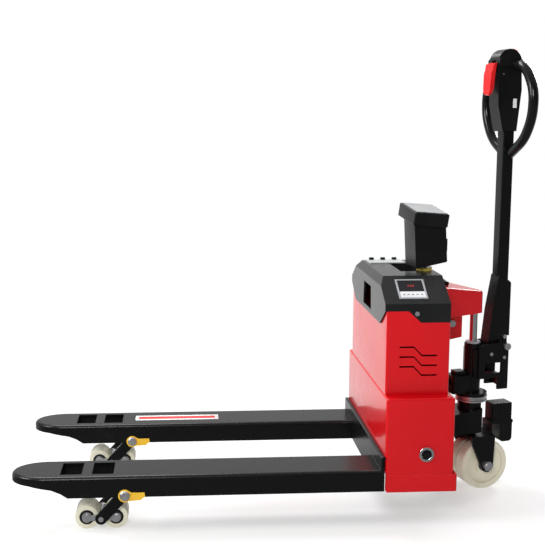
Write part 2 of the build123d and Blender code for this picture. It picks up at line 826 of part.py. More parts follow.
def make_ram():
    rod = disc_z(steer_x, 0, rod_radius, rod_bottom, hood_bottom + rod_seat_depth)
    piston = disc_z(steer_x, 0, cylinder_bore - pin_clearance, rod_bottom - piston_height, rod_bottom)
    parts["ram_rod"] = rod + piston


def make_power_switch():
    slope = math.degrees(math.atan2(hood_top_front - hood_top_rear, steer_x + nose_radius - hood_front_x))
    fall = (switch_x - hood_front_x) * math.tan(math.radians(slope))
    origin = Pos(switch_x, switch_y, hood_top_front - fall) * Rot(0, slope, 0)
    wedge = side_plate([(-22, 0), (24, 0), (24, 12), (-22, 17)], -24, 24)
    pocket = block(-14, 15, -9, 9, 6, 20)
    parts["switch_housing"] = origin * (wedge - pocket)
    rocker = side_plate([(-12, 8), (13, 8), (13, 16), (0.5, 14), (-12, 21)], -8, 8)
    pin = disc_y(0, 11, 2, -9, 9)
    parts["power_rocker"] = origin * (rocker + pin)


def placed(shape):
    """Move a shape drawn straight ahead about the origin to the steering axis and its rest angle."""
    return Pos(steer_x, 0, 0) * Rot(0, 0, steer_yaw) * shape


def make_yoke():
    outline = [(yoke_front, 180), (300, 197), (yoke_rear, 206), (yoke_rear, 288), (yoke_front, 257)]
    box = side_plate(outline, -yoke_half_width, yoke_half_width)
    rear_corners = box.edges().filter_by(Axis.Z).filter_by_position(Axis.X, yoke_rear - 0.1, yoke_rear + 0.1)
    box = fillet(rear_corners, yoke_corner)
    inner = [
        (yoke_front - 1, 188),
        (300, 205),
        (yoke_rear - yoke_wall, 214),
        (yoke_rear - yoke_wall, 277),
        (yoke_front - 1, 248),
    ]
    half = yoke_half_width - yoke_wall
    shell = box - side_plate(inner, -half, half) - block(yoke_front - 1, yoke_mouth, -half, half, 150, 230)
    boss = disc_z(steer_x, 0, yoke_boss_radius, 200, thrust_z)
    boss &= block(0, yoke_rear, -half - 5, half + 5, 204, thrust_z)
    shell += boss
    shell -= disc_z(steer_x, 0, spindle_radius + pin_clearance, 150, 320)
    shell += disc_y(trunnion_x, trunnion_z, trunnion_radius, -yoke_half_width - 3, yoke_half_width + 3)
    parts["yoke"] = shell
    lower = disc_z(steer_x, 0, thrust_radius, thrust_z, thrust_z + thrust_ring)
    lower -= disc_z(steer_x, 0, spindle_radius + 1, thrust_z - 1, thrust_z + thrust_ring + 1)
    upper_z = thrust_z + thrust_ring + 2 * ball_radius
    upper = disc_z(steer_x, 0, thrust_radius, upper_z, upper_z + thrust_ring)
    upper -= disc_z(steer_x, 0, spindle_radius, upper_z - 1, upper_z + thrust_ring + 1)
    parts["upper_thrust_ring"] = upper
    ball_z = thrust_z + thrust_ring + ball_radius
    cage = disc_z(steer_x, 0, ball_circle + 5, ball_z - 2, ball_z + 2)
    cage -= disc_z(steer_x, 0, ball_circle - 6, ball_z - 2, ball_z + 2)
    balls = []
    for index in range(ball_count):
        x, y = polar(ball_circle, index * 360 / ball_count)
        ball = Pos(steer_x + x, y, ball_z) * Sphere(ball_radius - 0.02)
        cage -= ball
        balls.append(ball)
    parts["lower_thrust_ring"] = Compound(children=[lower, cage] + balls)


def make_pump():
    base_z = thrust_z + 2 * thrust_ring + 2 * ball_radius
    spindle = disc_z(0, 0, spindle_radius, crown_z + crown_thickness, base_z)
    tube_z = base_z + flange_thickness
    flange = disc_z(0, 0, flange_radius, base_z, tube_z)
    tube = disc_z(0, 0, cylinder_radius, tube_z, cylinder_top)
    tube = chamfer(tube.edges().filter_by(GeomType.CIRCLE).sort_by(Axis.Z)[-1], 2)
    pump = spindle + flange + tube
    pump -= disc_z(0, 0, cylinder_bore, base_z + 20, cylinder_top + 1)
    parts["pump_cylinder"] = placed(pump)
    gland = disc_z(0, 0, cylinder_radius - 4, cylinder_top, cylinder_top + gland_height)
    gland += disc_z(0, 0, cylinder_bore, cylinder_top - 24, cylinder_top)
    gland -= disc_z(0, 0, rod_radius + pin_clearance, cylinder_top - 25, cylinder_top + gland_height + 1)
    parts["cylinder_gland"] = placed(gland)
    around = disc_z(0, 0, cylinder_radius, 300, 540)
    valve = block(-86, -20, -30, 30, tube_z, 398)
    valve = fillet(valve.edges().filter_by(Axis.Z), 6)
    valve += block(-70, -34, -18, 18, 398, 412)
    valve += Pos(-86, 12, 372) * Rot(0, 90, 0) * Cylinder(9, 22)
    parts["valve_block"] = placed(valve - around)


def make_bracket():
    outer = [
        (0, bracket_top - 16),
        (14, bracket_top),
        (bracket_rear - 20, bracket_top + 6),
        (bracket_rear, bracket_top - 4),
        (bracket_rear, bracket_foot), (74, bracket_foot), (74, 386), (0, 386),
    ]
    web = block(-14, 14, 20, bracket_y - bracket_thickness / 2, 392, 486)
    around = disc_z(0, 0, cylinder_radius, 300, 540)
    plates = Part()
    for side in (-1, 1):
        y0 = side * bracket_y - bracket_thickness / 2
        y1 = y0 + bracket_thickness
        plate = side_plate(outer, y0, y1)
        if side < 0:
            plate -= block(24, 86, y0 - 1, y1 + 1, 404, 439)
        plates += plate
        plates += web if side > 0 else mirrored(web)
    inner = bracket_y - bracket_thickness / 2
    plates += block(64, 72, -inner, inner, 388, 402)
    plates += block(94, 104, -inner, inner, 352, 392)
    plates -= around
    pins = []
    for u, z, radius in ((96, 456, 6), (46, 470, 6)):
        reach = bracket_y + bracket_thickness / 2 + 3
        pins.append(disc_y(u, z, radius, -reach, reach))
    pins[1] = pins[1] - block(0, 90, -inner, inner, 440, 500)
    pins[0] = pins[0] - block(0, 110, -inner, inner, 440, 500)
    reach = bracket_y + bracket_thickness / 2
    tilt = disc_y(tilt_u, tilt_z, tilt_pin_radius, -reach - 2, reach + 2)
    tilt += disc_y(tilt_u, tilt_z, tilt_pin_radius + 4, -reach - 6, -reach)
    tilt += disc_y(tilt_u, tilt_z, tilt_pin_radius + 4, reach, reach + 6)
    for pin in pins + [tilt]:
        plates -= pin
    parts["tiller_bracket"] = placed(plates)
    parts["bracket_pins"] = Compound(children=[s for pin in pins + [tilt] for s in placed(pin).solids()])


def make_wheel_bracket():
    crown_top = crown_z + crown_thickness
    cheek = cheek_y
    outer = cheek + cheek_thickness
    crown = disc_z(0, 0, 50, crown_z, crown_top)
    crown += block(-28, 60, -outer, outer, crown_z, crown_top)
    points = [(-28, crown_z), (60, crown_z), (56, 96), (50, 78), (33, 64), (14, 74), (-24, 160)]
    frame = crown
    hub = 23
    for side in (-1, 1):
        y0 = min(side * cheek, side * outer)
        y1 = max(side * cheek, side * outer)
        frame += side_plate(points, y0, y1) + disc_y(wheel_trail, wheel_radius, hub, y0, y1)
        frame -= disc_y(wheel_trail, wheel_radius, steer_axle_radius, y0 - 1, y1 + 1)
    shelf_z = motor_bottom - 10
    post_rear = post_front + post_thickness
    frame += block(0, post_rear, -motor_half_width, motor_half_width, crown_z, crown_top)
    frame += block(post_front, post_rear, -motor_half_width, motor_half_width, crown_z, motor_bottom)
    frame += block(post_front, motor_rear + 4, -motor_half_width, motor_half_width, shelf_z, motor_bottom)
    parts["wheel_bracket"] = placed(frame)
    reach = outer
    axle = disc_y(wheel_trail, wheel_radius, steer_axle_radius, -reach - 12, reach + 12)
    nuts = []
    for side in (-1, 1):
        y0 = min(side * reach, side * (reach + 9))
        y1 = max(side * reach, side * (reach + 9))
        nut = hexagon_y(wheel_trail, wheel_radius, 30, y0, y1)
        nuts.append(placed(nut - axle))
        y0, y1 = wheel_span(side)
        bearing = disc_y(wheel_trail, wheel_radius, wheel_bore - pin_clearance, y0, y1)
        nuts.append(placed(bearing - axle))
    parts["steer_axle"] = Compound(children=[placed(axle)] + nuts)


def wheel_span(side):
    inner = side * wheel_gap / 2
    outer = side * (wheel_gap / 2 + wheel_width)
    return min(inner, outer), max(inner, outer)


def make_steer_wheel(name, side):
    inner = wheel_gap / 2
    outer = inner + wheel_width
    y0, y1 = wheel_span(side)
    wheel = disc_y(wheel_trail, wheel_radius, wheel_radius, y0, y1)
    wheel = fillet(wheel.edges().filter_by(GeomType.CIRCLE), 7)
    for face in (side * outer, side * inner):
        depth = 6 if face == side * outer else -6
        a = face
        b = face - side * depth
        ring = disc_y(wheel_trail, wheel_radius, wheel_radius - 20, min(a, b), max(a, b))
        ring -= disc_y(wheel_trail, wheel_radius, wheel_bore + 10, min(a, b), max(a, b))
        wheel -= ring
    wheel -= disc_y(wheel_trail, wheel_radius, wheel_bore, y0 - 1, y1 + 1)
    parts[f"{name}_steer_wheel"] = placed(wheel)


def make_motor():
    upper = block(motor_front, motor_rear, -motor_half_width, motor_half_width, motor_bottom, motor_top)
    upper = fillet(upper.edges().filter_by(Axis.Z), 5)
    upper = chamfer(upper.edges().filter_by_position(Axis.Z, motor_top - 0.1, motor_top + 0.1), 3)
    parts["pump_motor"] = placed(upper)
    half = motor_half_width
    lower = block(guard_front, motor_rear + 2, -half, half, guard_bottom, motor_bottom - 10)
    low_edges = lower.edges().filter_by(Axis.Y)
    lower = fillet(low_edges.filter_by_position(Axis.Z, guard_bottom - 1, guard_bottom + 1), 14)
    parts["motor_guard"] = placed(lower)


def make_tiller():
    half = sleeve_half_width
    outline = [(42, 486), (60, 500), (99, 530), (124, 526), (124, 708), (116, 716), (77, 735), (56, 617)]
    sleeve = side_plate(outline, -half, half)
    sleeve += disc_y(tilt_u, tilt_z, 19, -14, 14)
    sleeve += block(tilt_u - 17, tilt_u + 17, -14, 14, tilt_z, 534)
    front = tube_front
    rear = tube_front + tube_size
    half_tube = tube_size / 2
    tube = block(front, rear, -half_tube, half_tube, tube_bottom, tube_top)
    tube = fillet(tube.edges().filter_by(Axis.Z), 4)
    sleeve -= tube
    sleeve -= disc_y(tilt_u, tilt_z, tilt_pin_radius + pin_clearance, -50, 50)
    stop = disc_y(tilt_u, 524, 7, -half - 5, half + 5)
    sleeve -= stop
    inside = block(
        front + tube_wall, rear - tube_wall,
        -half_tube + tube_wall, half_tube - tube_wall,
        tube_bottom - 1, head_bottom,
    )
    parts["tiller_sleeve"] = placed(sleeve)
    parts["tiller_tube"] = placed(tube - inside)
    return placed(stop)


def head_profile():
    left = Line((66, head_bottom), (46, 1300))
    left_up = Line((46, 1300), (42, 1428))
    dome = ThreePointArc((42, 1428), (84, head_top), (128, 1428))
    right = Line((128, 1428), (132, 1350))
    right_low = Line((132, 1350), (118, head_bottom))
    base = Line((118, head_bottom), (66, head_bottom))
    return left + left_up + dome + right + right_low + base


def make_head():
    half = head_half_width
    plane = Plane(origin=(0, half, 0), x_dir=(1, 0, 0), z_dir=(0, -1, 0))
    head = extrude(plane * make_face(head_profile()), amount=2 * half)
    crest = disc_y(84, 1406, 58, -half - 7, half + 7)
    crest &= block(0, 160, -half - 7, half + 7, 1424, head_top + 20)
    side_view = Plane(origin=(0, half + 9, 0), x_dir=(1, 0, 0), z_dir=(0, -1, 0))
    crest &= extrude(side_view * make_face(head_profile()), amount=2 * half + 18)
    head += crest
    half_tube = tube_size / 2
    tube = block(tube_front, tube_front + tube_size, -half_tube, half_tube, head_bottom - 1, tube_top)
    head -= tube
    pocket = block(button_front, button_rear, -button_half_width, button_half_width, 1446, 1500)
    head -= pocket
    head -= make_handle_path(handle_tube)
    head -= block(38, 60, -11, 11, lever_pivot_z - 14, lever_pivot_z + 14)
    pin = disc_y(lever_pivot_u, lever_pivot_z, lever_pin_radius, -lever_pin_reach, lever_pin_reach)
    head -= pin
    parts["head_housing"] = placed(head)
    half = button_half_width - cover_gap
    button = block(button_front + cover_gap, button_rear - cover_gap, -half, half, 1459, 1484)
    top = [
        (60, 1482),
        (button_front + 12, 1481.5),
        (button_rear - 8, 1477),
        (button_rear, 1468),
        (140, 1500),
        (60, 1500),
    ]
    button -= side_plate(top, -half - 5, half + 5)
    parts["reverse_button"] = placed(button)
    lever = [
        (38, 1436),
        (27, 1432),
        (23, 1412),
        (19, 1400),
        (17, 1360),
        (17, 1334),
        (25, lever_bottom),
        (32, 1360),
        (34, 1405),
    ]
    blade = side_plate(lever, -lever_half_width, lever_half_width)
    tip = lever_half_width - lever_taper
    round_z = lever_bottom + tip
    outline = [(-lever_half_width, 1440), (-tip, round_z), (tip, round_z), (lever_half_width, 1440)]
    blade &= cross_plate(outline, 0, 60) + Pos(30, 0, round_z) * Rot(0, 90, 0) * Cylinder(tip, 60)
    low = lever_pivot_z - lever_tongue
    tongue = block(32, lever_pivot_u, -10, 10, low, lever_pivot_z + lever_tongue)
    tongue += disc_y(lever_pivot_u, lever_pivot_z, lever_tongue, -10, 10)
    blade += tongue
    bore = disc_y(lever_pivot_u, lever_pivot_z, lever_pin_radius + pin_clearance, -11, 11)
    parts["lift_lever"] = placed(blade - bore)
    return placed(pin)


def make_handle_path(radius):
    u = handle_u
    v = handle_half_width
    right = [(8, 1437), (92, 1420), (v, 1345), (v - 4, 1260), (96, 1188), (18, 1141)]
    loop = Part()
    for side in (-1, 1):
        points = [(u, side * y, z) for y, z in right]
        path = FilletPolyline(*points, radius=[90, 116, 150, 140])
        start = Plane(origin=path @ 0, z_dir=path % 0)
        loop += sweep(start * Circle(radius), path=path)
    return loop


def make_handle():
    loop = make_handle_path(handle_tube)
    half_tube = tube_size / 2
    loop -= block(tube_front, tube_front + tube_size, -half_tube, half_tube, 1000, tube_top)
    parts["loop_handle"] = placed(loop)


def make_insides():
    front = upper_front + sheet
    rear = upper_rear - sheet
    half = upper_y - sheet
    battery = block(front + 15, rear - 16, -battery_half_length, battery_half_length, shelf_top, battery_top)
    battery = fillet(battery.edges().filter_by(Axis.Z), 6)
    parts["battery"] = battery
    shelf = block(front, rear, -half, half, shelf_top - shelf_thickness, shelf_top)
    near = battery_half_length + 15
    parts["controller"] = block(front + 21, rear - 22, near, half - 27.5, shelf_top, battery_top - 10)
    cheeks = []
    for side in (-1, 1):
        y0 = side * shaft_cheek_y - shaft_cheek_thickness / 2
        y1 = y0 + shaft_cheek_thickness
        cheek = block(5.4, body_rear - sheet, y0, y1, body_bottom + 40, 300)
        hole = shaft_radius + pin_clearance
        cheek -= disc_y(shaft_x, shaft_z, hole, y0 - 1, y1 + 1)
        cheeks.append(cheek)
    parts["inner_frame"] = Compound(children=cheeks + [shelf])
    screws = []
    for side in (-1, 1):
        a = side * upper_y
        b = side * (upper_y + screw_head_height)
        screws.append(disc_y(screw_x, screw_z, screw_head_radius, min(a, b), max(a, b)))
    return screws


for side_name, side_sign in sides:
    parts[f"{side_name}_fork"] = make_fork(side_sign)
    make_roller_end(side_name, side_sign)
    make_push_rod(side_name, side_sign)
    make_steer_wheel(side_name, side_sign)
make_fork_fittings()
make_rocker()
make_heel()
make_lower_body()
make_bosses()
make_upper_body()
make_cover()
make_lid()
make_display()
make_mast()
web_bolt = make_hood()
make_ram()
make_power_switch()
make_yoke()
make_pump()
make_bracket()
make_wheel_bracket()
make_motor()
stop_pin = make_tiller()
lever_pin = make_head()
parts["tiller_pins"] = Compound(children=[stop_pin, lever_pin])
make_handle()
cover_screws = make_insides()
parts["body_screws"] = Compound(children=cover_screws + [web_bolt])

whole = Compound(children=[shape for part in parts.values() for shape in part.solids()]).bounding_box()
origin_x = (whole.min.X + whole.max.X) / 2
origin_y = (whole.min.Y + whole.max.Y) / 2
origin_z = whole.min.Z
os.makedirs("parts", exist_ok=True)
for part_name, part in parts.items():
    export_step(Pos(-origin_x, -origin_y, -origin_z) * part, f"parts/{part_name}.step")
print(len(parts), "parts, origin", round(origin_x, 3), round(origin_y, 3), round(origin_z, 3))
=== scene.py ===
import bpy
import bmesh
import json
import math
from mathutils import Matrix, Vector
from mathutils.bvhtree import BVHTree


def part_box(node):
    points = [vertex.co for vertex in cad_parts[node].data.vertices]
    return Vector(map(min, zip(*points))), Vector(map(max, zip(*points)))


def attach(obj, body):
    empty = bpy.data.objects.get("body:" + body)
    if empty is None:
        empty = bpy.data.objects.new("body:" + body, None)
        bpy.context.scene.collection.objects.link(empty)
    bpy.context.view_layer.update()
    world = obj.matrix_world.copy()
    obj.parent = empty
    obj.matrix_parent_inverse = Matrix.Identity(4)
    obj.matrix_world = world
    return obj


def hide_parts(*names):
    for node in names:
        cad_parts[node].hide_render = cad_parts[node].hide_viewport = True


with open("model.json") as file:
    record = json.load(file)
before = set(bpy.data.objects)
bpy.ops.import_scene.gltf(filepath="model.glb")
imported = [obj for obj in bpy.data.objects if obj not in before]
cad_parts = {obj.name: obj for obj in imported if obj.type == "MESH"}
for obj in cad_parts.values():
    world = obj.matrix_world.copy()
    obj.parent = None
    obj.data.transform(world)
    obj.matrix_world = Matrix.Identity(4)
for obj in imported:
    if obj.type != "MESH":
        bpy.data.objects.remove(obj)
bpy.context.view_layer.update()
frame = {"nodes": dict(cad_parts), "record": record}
print("frame loaded:", len(frame["nodes"]), "nodes")

jointInfo = {joint["name"]: joint for joint in frame["record"]["behaviour"]["joints"]}
steerAxis = Vector(jointInfo["steer"]["pos_m"])
acrossTiller = Vector(jointInfo["tiller_tilt"]["axis"])
aheadTiller = acrossTiller.cross(Vector((0, 0, 1)))
mm = 0.001


def steerPoint(ahead, across, height):
    # a place in the steered unit, in millimetres from the ram's axis and the floor
    place = aheadTiller * ahead * mm + acrossTiller * across * mm
    return Vector((steerAxis.x + place.x, steerAxis.y + place.y, height * mm))


class Wire:
    # a socket that takes part in sums
    def __init__(self, tree, socket):
        self.tree = tree
        self.socket = socket

    def sum(self, operation, first, second):
        maths = self.tree.nodes.new("ShaderNodeMath")
        maths.operation = operation
        for index, value in enumerate((first, second)):
            if isinstance(value, Wire):
                self.tree.links.new(value.socket, maths.inputs[index])
            else:
                maths.inputs[index].default_value = value
        return Wire(self.tree, maths.outputs[0])

    def __add__(self, other):
        return self.sum("ADD", self, other)

    def __radd__(self, other):
        return self.sum("ADD", other, self)

    def __sub__(self, other):
        return self.sum("SUBTRACT", self, other)

    def __rsub__(self, other):
        return self.sum("SUBTRACT", other, self)

    def __mul__(self, other):
        return self.sum("MULTIPLY", self, other)

    def __rmul__(self, other):
        return self.sum("MULTIPLY", other, self)


class Finish:
    # one material: a Principled shader and the nodes that feed it
    def __init__(self, name, **settings):
        self.material = bpy.data.materials.new(name)
        self.material.use_nodes = True
        self.tree = self.material.node_tree
        self.shader = self.tree.nodes["Principled BSDF"]
        for socket, value in settings.items():
            self.shader.inputs[socket.replace("_", " ")].default_value = value

    def node(self, kind, settings=None, inputs=None, out=0):
        made = self.tree.nodes.new(kind)
        for name, value in (settings or {}).items():
            if name == "stops":
                while len(made.color_ramp.elements) < len(value):
                    made.color_ramp.elements.new(0.5)
                for element, (place, shade) in zip(made.color_ramp.elements, value):
                    element.position = place
                    element.color = (shade, shade, shade, 1)
            else:
                setattr(made, name, value)
        for name, value in (inputs or {}).items():
            if isinstance(value, Wire):
                self.tree.links.new(value.socket, made.inputs[name])
            else:
                made.inputs[name].default_value = value
        return Wire(self.tree, made.outputs[out])

    def place(self, stretch=(1, 1, 1)):
        where = self.node("ShaderNodeTexCoord", out=3)
        return self.node("ShaderNodeMapping", inputs={"Vector": where, "Scale": stretch})

    def noise(self, scale, detail=3.0, stretch=(1, 1, 1), rough=0.5):
        inputs = {
            "Vector": self.place(stretch), "Scale": scale, "Detail": detail, "Roughness": rough,
        }
        return self.node("ShaderNodeTexNoise", inputs=inputs)

    def between(self, value, low, high):
        # 0 below low, 1 above high
        stops = [(low, 0.0), (high, 1.0)]
        return self.node("ShaderNodeValToRGB", {"stops": stops}, {"Fac": value})

    def blend(self, mask, under, over):
        mix = self.tree.nodes.new("ShaderNodeMix")
        mix.data_type = "RGBA"
        for index, value in ((0, mask), (6, under), (7, over)):
            if isinstance(value, Wire):
                self.tree.links.new(value.socket, mix.inputs[index])
            else:
                mix.inputs[index].default_value = value
        return Wire(self.tree, mix.outputs[2])

    def feed(self, socket, wire):
        self.tree.links.new(wire.socket, self.shader.inputs[socket])

    def bump(self, height, strength, distance):
        inputs = {"Height": height, "Strength": strength, "Distance": distance}
        self.feed("Normal", self.node("ShaderNodeBump", inputs=inputs))
        return self.material


def shade(r, g, b):
    return (r, g, b, 1)


paintRed = {
    "base": shade(0.62, 0.0035, 0.0085), "deep": shade(0.56, 0.0025, 0.0065), "roughness": 0.20,
}


def redPaint():
    f = Finish("redPaint", Coat_Weight=0.35, Coat_Roughness=0.05, Specular_IOR_Level=0.25)
    cloud = f.noise(1.8, 3)
    film = f.noise(30, 4)
    dust = f.between(f.noise(55, 7, rough=0.7), 0.66, 0.80)
    body = f.blend(f.between(cloud, 0.35, 0.7), paintRed["base"], paintRed["deep"])
    f.feed("Base Color", f.blend(dust * 0.25, body, shade(0.60, 0.05, 0.05)))
    f.feed("Roughness", paintRed["roughness"] + 0.06 * f.between(film, 0.4, 0.75) + 0.12 * dust)
    return f.bump(f.noise(700, 2), 0.035, 0.0003)


paintBlack = {
    "base": shade(0.0042, 0.0044, 0.0050), "worn": shade(0.040, 0.040, 0.042), "roughness": 0.24,
}


def blackPaint():
    f = Finish("blackPaint", Coat_Weight=0.05, Coat_Roughness=0.10, Specular_IOR_Level=0.22)
    scuff = f.between(f.noise(16, 7, (0.35, 3, 1), 0.72), 0.62, 0.76)
    rub = f.between(f.noise(5, 3), 0.45, 0.65)
    mask = scuff * rub
    f.feed("Base Color", f.blend(mask * 0.5, paintBlack["base"], paintBlack["worn"]))
    f.feed("Roughness", paintBlack["roughness"] + 0.14 * mask + 0.06 * f.noise(35, 4))
    return f.bump(f.noise(1500, 3) + 0.5 * f.noise(500, 2), 0.05, 0.0002)


forkWear = {
    "base": shade(0.0045, 0.0046, 0.0050), "worn": shade(0.050, 0.049, 0.048), "amount": 0.5,
}


def forkPaint():
    f = Finish("forkPaint", Coat_Weight=0.06, Coat_Roughness=0.10, Specular_IOR_Level=0.22)
    # pallets drag along the truck and leave long scuffs
    drag = f.between(f.noise(9, 8, (0.5, 7, 1), 0.75), 0.60, 0.75)
    patch = f.between(f.noise(3.5, 3), 0.45, 0.70)
    mask = drag * patch
    f.feed("Base Color", f.blend(mask * forkWear["amount"], forkWear["base"], forkWear["worn"]))
    f.feed("Roughness", 0.24 + 0.18 * mask + 0.07 * f.noise(28, 4))
    return f.bump(f.noise(1100, 3) + 0.6 * f.noise(380, 2), 0.04, 0.0003)


def mouldedPlastic(name, base, light, roughness, grain=2200, strength=0.18):
    f = Finish(name, Specular_IOR_Level=0.25)
    cloud = f.noise(7, 3)
    f.feed("Base Color", f.blend(f.between(cloud, 0.35, 0.7), base, light))
    f.feed("Roughness", roughness + 0.08 * f.noise(50, 4))
    return f.bump(f.noise(grain, 2) + 0.4 * f.noise(grain * 0.35, 3), strength, 0.0004)


def nylon():
    glow = {
        "Subsurface_Weight": 0.08, "Subsurface_Scale": 0.2,
        "Subsurface_Radius": (0.012, 0.010, 0.006),
    }
    f = Finish("castNylon", **glow)
    stain = f.between(f.noise(24, 5), 0.50, 0.78)
    cast = f.blend(f.noise(7, 3), shade(0.80, 0.77, 0.62), shade(0.71, 0.68, 0.53))
    f.feed("Base Color", f.blend(stain * 0.35, cast, shade(0.50, 0.45, 0.33)))
    f.feed("Roughness", 0.36 + 0.2 * stain)
    return f.bump(f.noise(700, 3) + 0.5 * f.noise(90, 3), 0.12, 0.0006)


def zincPlate():
    f = Finish("zincPlate", Metallic=1.0)
    spangle = f.node("ShaderNodeTexVoronoi", inputs={"Vector": f.place(), "Scale": 160.0}, out=1)
    tone = f.blend(f.noise(45, 4), shade(0.86, 0.87, 0.89), shade(0.70, 0.71, 0.74))
    gold = f.between(f.noise(30, 4), 0.55, 0.8) * 0.3
    f.feed("Base Color", f.blend(gold, tone, shade(0.66, 0.60, 0.46)))
    f.feed("Roughness", 0.30 + 0.16 * f.node("ShaderNodeSeparateColor", inputs={"Color": spangle}))
    return f.bump(f.noise(900, 3), 0.10, 0.0004)


def hardChrome():
    f = Finish("hardChrome", Metallic=1.0, Base_Color=shade(0.80, 0.81, 0.83))
    rings = f.noise(260, 2, (0.05, 0.05, 3))
    f.feed("Roughness", 0.05 + 0.10 * f.between(rings, 0.4, 0.7))
    return f.bump(rings, 0.05, 0.0002)


def yellowPaint(name="yellowPaint", base=shade(0.78, 0.46, 0.02), chip=shade(0.35, 0.18, 0.02)):
    f = Finish(name, Coat_Weight=0.25, Coat_Roughness=0.15)
    mask = f.between(f.noise(70, 6, rough=0.7), 0.60, 0.72)
    f.feed("Base Color", f.blend(mask * 0.6, base, chip))
    f.feed("Roughness", 0.30 + 0.25 * mask)
    return f.bump(f.noise(800, 3), 0.12, 0.0004)


def glassDark():
    f = Finish("displayGlass", Coat_Weight=0.1, Coat_Roughness=0.03, Specular_IOR_Level=0.2)
    tint = f.blend(f.noise(90, 3), shade(0.004, 0.004, 0.006), shade(0.010, 0.009, 0.012))
    f.feed("Base Color", tint)
    f.feed("Roughness", 0.10 + 0.05 * f.noise(40, 3))
    return f.bump(f.noise(300, 2), 0.02, 0.0002)


def litSegment():
    f = Finish("litSegment", Emission_Strength=0.9)
    glow = f.blend(f.noise(400, 2), shade(0.55, 0.01, 0.01), shade(0.9, 0.05, 0.03))
    f.feed("Base Color", glow)
    f.feed("Emission Color", glow)
    return f.material


def floorPaper():
    f = Finish("floorPaper", Roughness=0.9, Specular_IOR_Level=0.0)
    sheet = f.blend(f.noise(1.2, 3), shade(0.95, 0.95, 0.945), shade(0.93, 0.93, 0.925))
    f.feed("Base Color", sheet)
    f.bump(f.noise(120, 3), 0.03, 0.001)
    # far behind the truck the paper runs up into the lit backdrop
    where = f.node("ShaderNodeTexCoord", out=3)
    away = f.node("ShaderNodeSeparateXYZ", inputs={"Vector": where}, out=1)
    lit = f.node("ShaderNodeEmission", inputs={"Color": shade(1, 1, 1), "Strength": 1.0})
    distance = {"Value": away, "From Min": 0.1, "From Max": 1.4, "To Min": 0.45, "To Max": 1.0}
    behind = f.node("ShaderNodeMapRange", inputs=distance)
    length = f.node("ShaderNodeVectorMath", {"operation": "LENGTH"}, {0: where}, out=1)
    ring = {"Value": length, "From Min": 1.8, "From Max": 4.5}
    around = f.node("ShaderNodeMapRange", inputs=ring)
    far = behind + f.node("ShaderNodeLightPath") * around
    matt = Wire(f.tree, f.shader.outputs[0])
    paper = f.node("ShaderNodeMixShader", inputs={0: far, 1: matt, 2: lit})
    # in front of the truck the floor shows glossy rays a dim emission instead of the paper: a
    # painted dark reflection, with no flag or other object there, so only the truck's gloss shows
    # it
    ray = f.node("ShaderNodeLightPath", out=3)
    # painted dark reflection: the dim emission that glossy rays see on the floor in front of the
    # truck
    paintedDarkReflection = f.node("ShaderNodeEmission", inputs={"Color": shade(1, 1, 1), "Strength": 0.2})
    reach = {"Value": away, "From Min": 0.0, "From Max": 1.2, "To Min": 1.0, "To Max": 0.0}
    near = f.node("ShaderNodeMapRange", inputs=reach)
    surface = f.node("ShaderNodeMixShader", inputs={0: ray * near, 1: paper, 2: paintedDarkReflection})
    f.tree.links.new(surface.socket, f.tree.nodes["Material Output"].inputs["Surface"])
    return f.material


red = redPaint()
black = blackPaint()
forkBlack = forkPaint()
coverPlastic = mouldedPlastic(
    "coverPlastic", shade(0.010, 0.0104, 0.011), shade(0.014, 0.0145, 0.015), 0.20, 1700, 0.08
)
blackPlastic = mouldedPlastic(
    "blackPlastic", shade(0.0045, 0.0045, 0.005), shade(0.008, 0.008, 0.0085), 0.26, 1900, 0.09
)
gloss = mouldedPlastic(
    "glossGrip", shade(0.004, 0.004, 0.0045), shade(0.007, 0.007, 0.0075), 0.12, 500, 0.04
)
lidPlastic = mouldedPlastic("lidPlastic", shade(0.40, 0.41, 0.42), shade(0.48, 0.49, 0.50), 0.34)
filmGrey = mouldedPlastic(
    "panelFilm", shade(0.30, 0.31, 0.32), shade(0.42, 0.43, 0.44), 0.28, 900, 0.06
)
keyFilm = mouldedPlastic(
    "keyFilm", shade(0.70, 0.71, 0.72), shade(0.78, 0.79, 0.80), 0.35, 900, 0.06
)
silverTrim = mouldedPlastic(
    "silverTrim", shade(0.30, 0.31, 0.33), shade(0.40, 0.41, 0.43), 0.22, 900, 0.08
)
redPlastic = mouldedPlastic(
    "redPlastic", shade(0.62, 0.010, 0.013), shade(0.70, 0.018, 0.018), 0.24, 1500, 0.08
)
labelWhite = mouldedPlastic(
    "blankLabel", shade(0.76, 0.76, 0.75), shade(0.83, 0.83, 0.82), 0.45, 600, 0.05
)
labelRed = mouldedPlastic(
    "blankStripe", shade(0.62, 0.03, 0.03), shade(0.70, 0.05, 0.05), 0.45, 600, 0.05
)
rubber = mouldedPlastic(
    "sealRubber", shade(0.006, 0.006, 0.006), shade(0.012, 0.012, 0.012), 0.55, 1200, 0.2
)
yellow = yellowPaint()
yellowPlastic = yellowPaint("yellowPlastic", shade(0.80, 0.62, 0.10), shade(0.55, 0.40, 0.06))
cream = nylon()
zinc = zincPlate()
chrome = hardChrome()
glass = glassDark()
segmentRed = litSegment()
print("finishes made")


def sharpened(mesh, angle=32):
    for face in mesh.polygons:
        face.use_smooth = True
    mesh.set_sharp_from_angle(angle=math.radians(angle))


def added(name, mesh, material, body, slot=None, *nodes):
    piece = bpy.data.objects.new(name, mesh)
    bpy.context.scene.collection.objects.link(piece)
    mesh.materials.clear()
    mesh.materials.append(material)
    if nodes:
        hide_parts(*nodes)
    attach(piece, body)
    return piece


def fromShape(shape, name):
    bmesh.ops.recalc_face_normals(shape, faces=shape.faces)
    mesh = bpy.data.meshes.new(name)
    shape.to_mesh(mesh)
    shape.free()
    sharpened(mesh)
    return mesh


def rounded(piece, width, segments=3, angle=30):
    bevel = piece.modifiers.new("roundedEdges", "BEVEL")
    bevel.width = width
    bevel.segments = segments
    bevel.limit_method = "ANGLE"
    bevel.angle_limit = math.radians(angle)
    bevel.use_clamp_overlap = True
    bevel.harden_normals = True
    return piece


